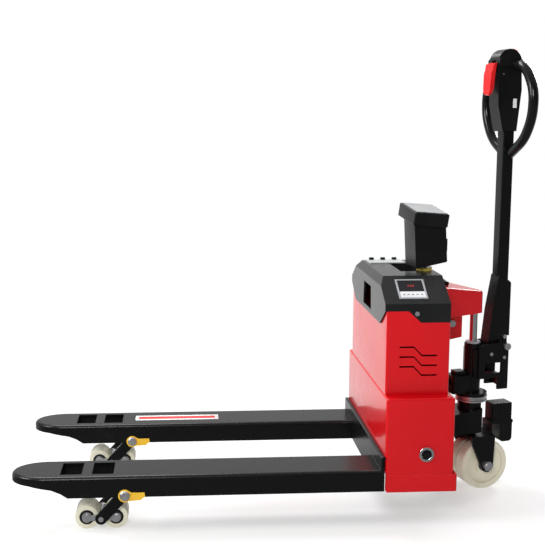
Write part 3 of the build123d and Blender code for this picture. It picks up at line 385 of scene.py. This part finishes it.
def softened(node, width, material, slot, segments=3):
    # a merged copy of a CAD node with rounded edges stands for it
    source = frame["nodes"][node]
    shape = bmesh.new()
    shape.from_mesh(source.data)
    bmesh.ops.remove_doubles(shape, verts=shape.verts, dist=2e-5)
    flat = math.radians(1)
    bmesh.ops.dissolve_limit(shape, angle_limit=flat, verts=shape.verts, edges=shape.edges)
    mesh = bpy.data.meshes.new(node + "Soft")
    shape.to_mesh(mesh)
    shape.free()
    sharpened(mesh)
    piece = added(node + "Soft", mesh, material, bodyOf[node], slot, node)
    return rounded(piece, width * mm, segments)


def boxShape(shape, low, high, turn=None):
    made = bmesh.ops.create_cube(shape, size=1)["verts"]
    low, high = Vector(low), Vector(high)
    size = high - low
    for vert in made:
        vert.co = vert.co * size + (low + high) / 2
        if turn:
            vert.co = turn(vert.co)
    return made


def lathed(shape, profile, centre, axis, steps=48):
    # profile holds (along the axis, radius) pairs in millimetres
    axis = Vector(axis).normalized()
    side = axis.orthogonal().normalized()
    other = axis.cross(side)
    rings = []
    for along, radius in profile:
        ring = []
        for step in range(steps):
            turn = 2 * math.pi * step / steps
            reach = (side * math.cos(turn) + other * math.sin(turn)) * radius * mm
            ring.append(shape.verts.new(Vector(centre) + axis * along * mm + reach))
        rings.append(ring)
    for first, second in zip(rings, rings[1:] + rings[:1]):
        for step in range(steps):
            after = (step + 1) % steps
            shape.faces.new((first[step], first[after], second[after], second[step]))


bodies = frame["record"]["behaviour"]["bodies"]
bodyOf = {node: body for body, nodes in bodies.items() for node in nodes}


plainFinish = {
    "arm_pivot_bolts": zinc, "load_cells": zinc, "boss_rings": chrome, "boss_plugs": blackPlastic,
    "body_screws": zinc, "ram_rod": chrome, "battery": blackPlastic, "controller": silverTrim,
    "inner_frame": black, "lid_clips": blackPlastic,
    "rocker_shaft": black, "lower_thrust_ring": zinc,
    "upper_thrust_ring": zinc, "cylinder_gland": silverTrim,
    "bracket_pins": zinc, "steer_axle": zinc,
    "tiller_pins": zinc, "loop_handle": gloss, "pump_cylinder": black, "valve_block": black,
    "head_panel": filmGrey, "display_window": glass,
    "key_panel": keyFilm, "mast_base": yellowPlastic,
    "left_push_rod": zinc, "right_push_rod": zinc,
    "left_tandem_link": zinc, "right_tandem_link": zinc,
    "left_front_roller": cream, "left_rear_roller": cream, "right_front_roller": cream,
    "right_rear_roller": cream, "left_steer_wheel": cream, "right_steer_wheel": cream,
    "left_fork": forkBlack, "right_fork": forkBlack, "lift_head": red,
}
for node, material in plainFinish.items():
    mesh = frame["nodes"][node].data
    mesh.materials.clear()
    mesh.materials.append(material)

softFinish = {   # node: (edge radius in mm, finish, slot)
    "lower_body": (1.5, red, "red_paint"), "upper_body": (1.2, red, "red_paint"),
    "top_cover": (2.0, coverPlastic, "grey_cover"), "heel_plate": (1.5, black, "black_paint"),
    "battery_lid": (1.2, lidPlastic, "light_lid"),
    "display_frame": (1.2, silverTrim, "silver_frame"),
    "mast_column": (2.5, blackPlastic, "black_plastic"),
    "mast_head": (3.0, blackPlastic, "black_plastic"),
    "switch_housing": (2.0, blackPlastic, "black_plastic"),
    "power_rocker": (1.0, gloss, "gloss_black"),
    "yoke": (1.5, black, "black_paint"), "wheel_bracket": (1.5, black, "black_paint"),
    "tiller_bracket": (1.2, black, "black_paint"), "tiller_sleeve": (2.0, black, "black_paint"),
    "tiller_tube": (1.0, black, "black_paint"), "pump_motor": (1.5, black, "black_paint"),
    "motor_guard": (1.5, blackPlastic, "black_plastic"),
    "head_housing": (4.0, blackPlastic, "black_plastic"),
    "reverse_button": (2.0, redPlastic, "red_plastic"),
    "lift_lever": (2.2, redPlastic, "red_plastic"),
    "left_roller_arm": (0.8, black, "black_paint"), "right_roller_arm": (0.8, black, "black_paint"),
    "lock_tabs": (0.6, yellow, "yellow_paint"),
}
for node, (width, material, slot) in softFinish.items():
    softened(node, width, material, slot)
print("nodes finished")


sealSizes = {"outer": 23.0, "inner": 15.6, "depth": 1.4, "lip": 1.2}


def rollerSeals(node, body):
    low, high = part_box(node)
    centre = (low + high) / 2
    outer, inner, depth, lip = (sealSizes[key] for key in ("outer", "inner", "depth", "lip"))
    shape = bmesh.new()
    for side in (-1, 1):
        face = (high.y - low.y) / 2 / mm
        profile = [
            (face - 0.2, inner), (face - 0.2, outer), (face + depth - 0.5, outer),
            (face + depth, outer - lip), (face + depth, inner + lip), (face + depth - 0.5, inner),
        ]
        lathed(shape, profile, centre, (0, side, 0))
    added(node + "_seals", fromShape(shape, node + "_seals"), rubber, body, "black_plastic")


for side in ("left", "right"):
    for end in ("front", "rear"):
        rollerSeals(f"{side}_{end}_roller", f"{side}_{end}_roller")
print("roller seals made")


digits = {"text": "000", "width": 3.4, "height": 7.0, "pitch": 7.5, "stroke": 0.9, "lift": 0.25}
segmentsOf = {"0": "abcdef"}


def displayDigits():
    low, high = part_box("display_window")
    slope = math.atan2(high.z - low.z, high.y - low.y)
    normal = Vector((0, -math.sin(slope), math.cos(slope)))
    up = Vector((0, math.cos(slope), math.sin(slope)))
    centre = (low + high) / 2 + normal * (digits["lift"] + 1.0) * mm
    w, h, t = digits["width"] / 2, digits["height"] / 2, digits["stroke"] / 2
    bars = {
        "a": (0, h, w, t), "b": (w, h / 2, t, h / 2), "c": (w, -h / 2, t, h / 2),
        "d": (0, -h, w, t), "e": (-w, -h / 2, t, h / 2), "f": (-w, h / 2, t, h / 2),
    }

    def onGlass(point):
        return centre + Vector((1, 0, 0)) * point.x + up * point.y + normal * point.z

    shape = bmesh.new()
    for index, digit in enumerate(digits["text"]):
        start = (index - (len(digits["text"]) - 1) / 2) * digits["pitch"]
        for bar in segmentsOf[digit]:
            x, y, half, tall = bars[bar]
            corner = ((start + x - half + 0.2) * mm, (y - tall + 0.2) * mm, -0.1 * mm)
            opposite = ((start + x + half - 0.2) * mm, (y + tall - 0.2) * mm, 0.15 * mm)
            boxShape(shape, corner, opposite, onGlass)
    mesh = fromShape(shape, "display_digits")
    added("display_digits", mesh, segmentRed, "chassis", "red_plastic")


displayDigits()
keyMarks = {"count": 5, "pitch": 14.0, "width": 7.0, "height": 3.0}


def displayKeys():
    # dark bars printed on the five keys under the glass
    low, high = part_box("key_panel")
    slope = math.atan2(high.z - low.z, high.y - low.y)
    normal = Vector((0, -math.sin(slope), math.cos(slope)))
    up = Vector((0, math.cos(slope), math.sin(slope)))
    centre = (low + high) / 2 + normal * 1.5 * mm - up * 1.0 * mm
    shape = bmesh.new()

    def onKeys(point):
        return centre + Vector((1, 0, 0)) * point.x + up * point.y + normal * point.z

    for index in range(keyMarks["count"]):
        x = (index - (keyMarks["count"] - 1) / 2) * keyMarks["pitch"]
        half, tall = keyMarks["width"] / 2, keyMarks["height"] / 2
        corner = ((x - half) * mm, -tall * mm, -0.3 * mm)
        opposite = ((x + half) * mm, tall * mm, 0.5 * mm)
        boxShape(shape, corner, opposite, onKeys)
    added("key_marks", fromShape(shape, "key_marks"), rubber, "chassis", "black_plastic")


displayKeys()


def surfaceOf(node):
    shape = bmesh.new()
    shape.from_mesh(frame["nodes"][node].data)
    tree = BVHTree.FromBMesh(shape)
    shape.free()
    return tree


def laidOn(name, node, start, inward, right, size, material, slot, thickness=0.3, roundness=0.0):
    # a thin patch pressed on a node's surface: start is in front of it, inward points at it
    steps = 8
    tree = surfaceOf(node)
    inward = Vector(inward).normalized()
    right = (Vector(right) - inward * Vector(right).dot(inward)).normalized()
    up = right.cross(inward)
    shape = bmesh.new()
    grid = []
    for row in range(steps + 1):
        line = []
        for column in range(steps + 1):
            a = column / steps * 2 - 1
            b = row / steps * 2 - 1
            # the corners are drawn in so that a round patch comes out as a disc
            square = max(abs(a), abs(b)) / max(math.hypot(a, b), 1e-6)
            draw = 1 - roundness + roundness * square
            offset = right * a * size[0] / 2 * mm * draw + up * b * size[1] / 2 * mm * draw
            hit = tree.ray_cast(Vector(start) + offset, inward)[0]
            line.append(shape.verts.new(hit - inward * 0.05 * mm) if hit else None)
        grid.append(line)
    for low, high in zip(grid, grid[1:]):
        for column in range(steps):
            corners = (low[column], low[column + 1], high[column + 1], high[column])
            if all(corners):
                shape.faces.new(corners)
    shape.normal_update()
    facing = sum((face.normal for face in shape.faces), Vector())
    if facing.dot(inward) > 0:
        bmesh.ops.reverse_faces(shape, faces=shape.faces)
    mesh = bpy.data.meshes.new(name)
    shape.to_mesh(mesh)
    shape.free()
    for face in mesh.polygons:
        face.use_smooth = True
    piece = added(name, mesh, material, bodyOf[node], slot)
    wall = piece.modifiers.new("thickness", "SOLIDIFY")
    wall.thickness = thickness * mm
    wall.offset = 1
    return piece


nearTiller = acrossTiller * (-1 if acrossTiller.y > 0 else 1)
labels = {
    "head": (14, 30), "headAt": (108, 1306), "dot": (5.0, 5.0), "dotAt": (62, 1400),
    "strip": (300, 56), "stripAt": 0.36, "margins": (24, 26), "beside": 80, "above": 20,
}


def blankLabels():
    away = nearTiller * labels["beside"] * mm
    u, z = labels["headAt"]
    face = (steerPoint(u, 0, z) + away, -nearTiller, aheadTiller)
    laidOn("head_label", "head_housing", *face, labels["head"], labelWhite, "key_film")
    u, z = labels["dotAt"]
    face = (steerPoint(u, 0, z) + away, -nearTiller, aheadTiller)
    laidOn("head_screw", "head_housing", *face, labels["dot"], zinc, "zinc", 1.2, 1.0)
    low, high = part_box("right_fork")
    length, width = labels["strip"]
    x = low.x + length * mm / 2 + labels["stripAt"]
    start = Vector((x, (low.y + high.y) / 2, high.z + labels["above"] * mm))
    face = (start, (0, 0, -1), (1, 0, 0))
    band = (length - labels["margins"][0], width - labels["margins"][1])
    laidOn("fork_strip", "right_fork", *face, (length, width), labelWhite, "key_film", 0.2)
    laidOn("fork_stripe", "right_fork", *face, band, labelRed, "red_plastic", 0.32)


trim = {"size": (26, 2.4), "back": -6, "up": 7.0, "beside": 200}


def columnTrim():
    # a thin yellow line along the foot of the indicator's column
    low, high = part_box("mast_column")
    places = [vert.co for vert in frame["nodes"]["mast_column"].data.vertices]
    foot = min(places, key=lambda place: place.z)
    y = (low.y + high.y) / 2 - trim["beside"] * mm
    start = Vector((foot.x - trim["back"] * mm, y, foot.z + trim["up"] * mm))
    face = (start, (0, 1, 0), (1, 0, 0.2))
    laidOn("column_trim", "mast_column", *face, trim["size"], yellowPlastic, "yellow_plastic")


blankLabels()
columnTrim()
print("labels laid on")

beads = {"spacing": 3.2, "radius": 2.4, "flatness": 0.7, "seed": 7}


def socketNamed(group, name):
    for item in group.interface.items_tree:
        if item.name == name and item.in_out == "INPUT":
            return item.identifier


def weldTree():
    # beads of weld metal along each edge of the guide mesh
    group = bpy.data.node_groups.new("weldBeads", "GeometryNodeTree")
    group.interface.new_socket("Path", in_out="INPUT", socket_type="NodeSocketGeometry")
    for name in ("Spacing", "Bead Radius", "Flatness"):
        group.interface.new_socket(name, in_out="INPUT", socket_type="NodeSocketFloat")
    group.interface.new_socket("Seed", in_out="INPUT", socket_type="NodeSocketInt")
    group.interface.new_socket("Metal", in_out="INPUT", socket_type="NodeSocketMaterial")
    group.interface.new_socket("Weld", in_out="OUTPUT", socket_type="NodeSocketGeometry")
    nodes, links = group.nodes, group.links
    given = nodes.new("NodeGroupInput")
    result = nodes.new("NodeGroupOutput")
    curve = nodes.new("GeometryNodeMeshToCurve")
    points = nodes.new("GeometryNodeCurveToPoints")
    points.mode = "LENGTH"
    bead = nodes.new("GeometryNodeMeshIcoSphere")
    bead.inputs["Subdivisions"].default_value = 2
    flat = nodes.new("ShaderNodeCombineXYZ")
    flat.inputs["X"].default_value = 1.0
    flat.inputs["Y"].default_value = 1.0
    chance = nodes.new("FunctionNodeRandomValue")
    chance.data_type = "FLOAT"
    chance.inputs[2].default_value = 0.85
    chance.inputs[3].default_value = 1.15
    spread = nodes.new("ShaderNodeVectorMath")
    spread.operation = "SCALE"
    placed = nodes.new("GeometryNodeInstanceOnPoints")
    real = nodes.new("GeometryNodeRealizeInstances")
    finish = nodes.new("GeometryNodeSetMaterial")
    smooth = nodes.new("GeometryNodeSetShadeSmooth")
    links.new(given.outputs["Path"], curve.inputs["Mesh"])
    links.new(curve.outputs["Curve"], points.inputs["Curve"])
    links.new(given.outputs["Spacing"], points.inputs["Length"])
    links.new(given.outputs["Bead Radius"], bead.inputs["Radius"])
    links.new(given.outputs["Flatness"], flat.inputs["Z"])
    links.new(given.outputs["Seed"], chance.inputs["Seed"])
    links.new(flat.outputs["Vector"], spread.inputs[0])
    links.new(chance.outputs[1], spread.inputs["Scale"])
    links.new(points.outputs["Points"], placed.inputs["Points"])
    links.new(bead.outputs["Mesh"], placed.inputs["Instance"])
    links.new(spread.outputs["Vector"], placed.inputs["Scale"])
    links.new(placed.outputs["Instances"], smooth.inputs["Geometry"])
    links.new(smooth.outputs["Geometry"], real.inputs["Geometry"])
    links.new(real.outputs["Geometry"], finish.inputs["Geometry"])
    links.new(given.outputs["Metal"], finish.inputs["Material"])
    links.new(finish.outputs["Geometry"], result.inputs["Weld"])
    return group


fasteners = {"washer": 2.0, "dome": 2.2, "sides": 32}


def fastenerTree():
    # a washer and a domed cap on each guide point, facing along its "aim"
    group = bpy.data.node_groups.new("washersAndCaps", "GeometryNodeTree")
    group.interface.new_socket("Places", in_out="INPUT", socket_type="NodeSocketGeometry")
    for name in ("Washer Thickness", "Cap Height"):
        group.interface.new_socket(name, in_out="INPUT", socket_type="NodeSocketFloat")
    group.interface.new_socket("Sides", in_out="INPUT", socket_type="NodeSocketInt")
    group.interface.new_socket("Metal", in_out="INPUT", socket_type="NodeSocketMaterial")
    group.interface.new_socket("Fasteners", in_out="OUTPUT", socket_type="NodeSocketGeometry")
    nodes, links = group.nodes, group.links
    given = nodes.new("NodeGroupInput")
    result = nodes.new("NodeGroupOutput")
    washer = nodes.new("GeometryNodeMeshCylinder")
    washer.inputs["Radius"].default_value = 1.0
    cap = nodes.new("GeometryNodeMeshUVSphere")
    cap.inputs["Radius"].default_value = 0.72
    cap.inputs["Rings"].default_value = 12
    capSize = nodes.new("GeometryNodeTransform")
    both = nodes.new("GeometryNodeJoinGeometry")
    aim = nodes.new("GeometryNodeInputNamedAttribute")
    aim.data_type = "FLOAT_VECTOR"
    aim.inputs["Name"].default_value = "aim"
    wide = nodes.new("GeometryNodeInputNamedAttribute")
    wide.data_type = "FLOAT"
    wide.inputs["Name"].default_value = "reach"
    stretch = nodes.new("ShaderNodeCombineXYZ")
    stretch.inputs["Z"].default_value = 1.0
    flat = nodes.new("ShaderNodeCombineXYZ")
    flat.inputs["X"].default_value = 1.0
    flat.inputs["Y"].default_value = 1.0
    turn = nodes.new("FunctionNodeAlignRotationToVector")
    turn.axis = "Z"
    placed = nodes.new("GeometryNodeInstanceOnPoints")
    smooth = nodes.new("GeometryNodeSetShadeSmooth")
    real = nodes.new("GeometryNodeRealizeInstances")
    finish = nodes.new("GeometryNodeSetMaterial")
    links.new(given.outputs["Sides"], washer.inputs["Vertices"])
    links.new(given.outputs["Washer Thickness"], washer.inputs["Depth"])
    links.new(given.outputs["Sides"], cap.inputs["Segments"])
    links.new(given.outputs["Cap Height"], flat.inputs["Z"])
    links.new(cap.outputs["Mesh"], capSize.inputs["Geometry"])
    links.new(flat.outputs["Vector"], capSize.inputs["Scale"])
    links.new(washer.outputs["Mesh"], both.inputs["Geometry"])
    links.new(capSize.outputs["Geometry"], both.inputs["Geometry"])
    links.new(given.outputs["Places"], placed.inputs["Points"])
    links.new(both.outputs["Geometry"], placed.inputs["Instance"])
    links.new(aim.outputs["Attribute"], turn.inputs["Vector"])
    links.new(turn.outputs["Rotation"], placed.inputs["Rotation"])
    links.new(wide.outputs["Attribute"], stretch.inputs["X"])
    links.new(wide.outputs["Attribute"], stretch.inputs["Y"])
    links.new(stretch.outputs["Vector"], placed.inputs["Scale"])
    links.new(placed.outputs["Instances"], smooth.inputs["Geometry"])
    links.new(smooth.outputs["Geometry"], real.inputs["Geometry"])
    links.new(real.outputs["Geometry"], finish.inputs["Geometry"])
    links.new(given.outputs["Metal"], finish.inputs["Material"])
    links.new(finish.outputs["Geometry"], result.inputs["Fasteners"])
    return group


def grown(name, guide, group, settings, material, body, slot):
    # runs the tree on the guide and keeps its result as a plain mesh
    maker = bpy.data.objects.new(name + "Guide", guide)
    bpy.context.scene.collection.objects.link(maker)
    step = maker.modifiers.new(name, "NODES")
    step.node_group = group
    for socket, value in settings.items():
        step[socketNamed(group, socket)] = value
    step[socketNamed(group, "Metal")] = material
    graph = bpy.context.evaluated_depsgraph_get()
    mesh = bpy.data.meshes.new_from_object(maker.evaluated_get(graph))
    maker.modifiers.clear()
    bpy.data.objects.remove(maker)
    mesh.name = name
    return added(name, mesh, material, body, slot)


welds = weldTree()
caps = fastenerTree()


def weldAlong(name, points, material, body, slot):
    guide = bpy.data.meshes.new(name + "Guide")
    guide.from_pydata(points, [(i, i + 1) for i in range(len(points) - 1)], [])
    settings = {
        "Spacing": beads["spacing"] * mm, "Bead Radius": beads["radius"] * mm,
        "Flatness": beads["flatness"], "Seed": beads["seed"],
    }
    grown(name, guide, welds, settings, material, body, slot)


def fastenersAt(name, places, material, body, slot):
    # places holds (point, direction, radius in mm)
    guide = bpy.data.meshes.new(name + "Guide")
    guide.from_pydata([tuple(point) for point, _, _ in places], [], [])
    guide.attributes.new("aim", "FLOAT_VECTOR", "POINT")
    guide.attributes.new("reach", "FLOAT", "POINT")
    for index, (_, direction, radius) in enumerate(places):
        guide.attributes["aim"].data[index].vector = tuple(direction)
        guide.attributes["reach"].data[index].value = radius * mm
    settings = {
        "Washer Thickness": fasteners["washer"] * mm, "Cap Height": fasteners["dome"] * mm,
        "Sides": fasteners["sides"],
    }
    grown(name, guide, caps, settings, material, body, slot)


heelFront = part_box("heel_plate")[0].x
weldInset = 14 * mm  # a weld stops short of the fork's rolled edges
for side in ("left", "right"):
    forkLow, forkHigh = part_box(side + "_fork")
    y0, y1 = forkLow.y + weldInset, forkHigh.y - weldInset
    path = [(heelFront, y0, forkHigh.z), (heelFront, y1, forkHigh.z)]
    weldAlong(side + "_heel_weld", path, black, "chassis", "black_paint")
print("welds laid")

boltLow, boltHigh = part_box("arm_pivot_bolts")
washerPlace = {"inset": 6.8, "radius": 15.5}  # inset is from the bolt's end
pivotPlaces = []
for side in ("left", "right"):
    forkLow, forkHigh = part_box(side + "_fork")
    middle = (forkLow.y + forkHigh.y) / 2
    reach = boltHigh.y - middle if side == "right" else middle - boltLow.y
    pivot = jointInfo[side + "_arm_turn"]["pos_m"]
    for face in (-1, 1):
        y = middle + face * (reach - washerPlace["inset"] * mm)
        end = Vector((pivot[0], y, pivot[2]))
        pivotPlaces.append((end, (0, face, 0), washerPlace["radius"]))
fastenersAt("pivot_washers", pivotPlaces, zinc, "chassis", "zinc")
print("washers placed")

cameraView = {
    "place": (-0.3160, -3.2863, 1.2561), "lens": 66.41, "pitch": 81.3, "yaw": -3.5, "shift": 0.0615,
}
camera = bpy.data.cameras.new("camera")
camera.lens = cameraView["lens"]
camera.sensor_width = 36
camera.shift_x = cameraView["shift"]
cameraObject = bpy.data.objects.new("camera", camera)
cameraObject.location = cameraView["place"]
pitch, yaw = math.radians(cameraView["pitch"]), math.radians(cameraView["yaw"])
cameraObject.rotation_euler = (pitch, 0, yaw)
bpy.context.scene.collection.objects.link(cameraObject)
bpy.context.scene.camera = cameraObject

floorMesh = bpy.data.meshes.new("floor")
floorMesh.from_pydata([(-40, -40, 0), (40, -40, 0), (40, 40, 0), (-40, 40, 0)], [], [(0, 1, 2, 3)])
floorMesh.materials.append(floorPaper())
floor = bpy.data.objects.new("floor", floorMesh)
bpy.context.scene.collection.objects.link(floor)

# name: place, aim, size, power, colour
lamps = {
    "frontBox": ((-1.4, -4.6, 3.0), (0.2, -0.2, 0.6), 1.4, 120, (1, 0.995, 0.985)),
    "leftBox": ((-3.4, -1.0, 2.6), (0.2, 0, 0.5), 1.6, 105, (1, 0.99, 0.98)),
    "topBox": ((-1.0, 1.9, 3.9), (0.1, 0, 0.3), 2.0, 110, (1, 1, 1)),
    "rearStrip": ((2.6, 2.2, 2.4), (0.4, 0, 0.7), 1.2, 70, (0.97, 0.98, 1)),
}
for name, (place, aim, size, power, colour) in lamps.items():
    lamp = bpy.data.lights.new(name, "AREA")
    lamp.size = size
    lamp.energy = power
    lamp.color = colour
    lampObject = bpy.data.objects.new(name, lamp)
    lampObject.location = place
    lampObject.rotation_euler = (Vector(aim) - Vector(place)).to_track_quat("-Z", "Y").to_euler()
    bpy.context.scene.collection.objects.link(lampObject)

# grey levels behind the viewer, behind the truck, and as seen
surroundings = {"front": 0.04, "back": 0.7, "seen": 1.0}
world = bpy.data.worlds.new("studio")
world.use_nodes = True
bpy.context.scene.world = world
tree = world.node_tree
background = tree.nodes["Background"]
where = tree.nodes.new("ShaderNodeTexCoord")
split = tree.nodes.new("ShaderNodeSeparateXYZ")
tree.links.new(where.outputs["Generated"], split.inputs[0])
depth = Wire(tree, split.outputs[1])
height = Wire(tree, split.outputs[2])
ramp = tree.nodes.new("ShaderNodeMapRange")
tree.links.new((depth + 0.75 * height).socket, ramp.inputs["Value"])
ramp.inputs["From Min"].default_value = -0.35
ramp.inputs["From Max"].default_value = 0.55
ramp.inputs["To Min"].default_value = surroundings["front"]
ramp.inputs["To Max"].default_value = surroundings["back"]
ray = tree.nodes.new("ShaderNodeLightPath")
seen = Wire(tree, ray.outputs["Is Camera Ray"])
strength = seen * surroundings["seen"] + (1 - seen) * Wire(tree, ramp.outputs[0])
tree.links.new(strength.socket, background.inputs["Strength"])
background.inputs["Color"].default_value = shade(1, 1, 1)
bpy.context.scene.view_settings.view_transform = "Standard"
print("camera, floor and light placed")
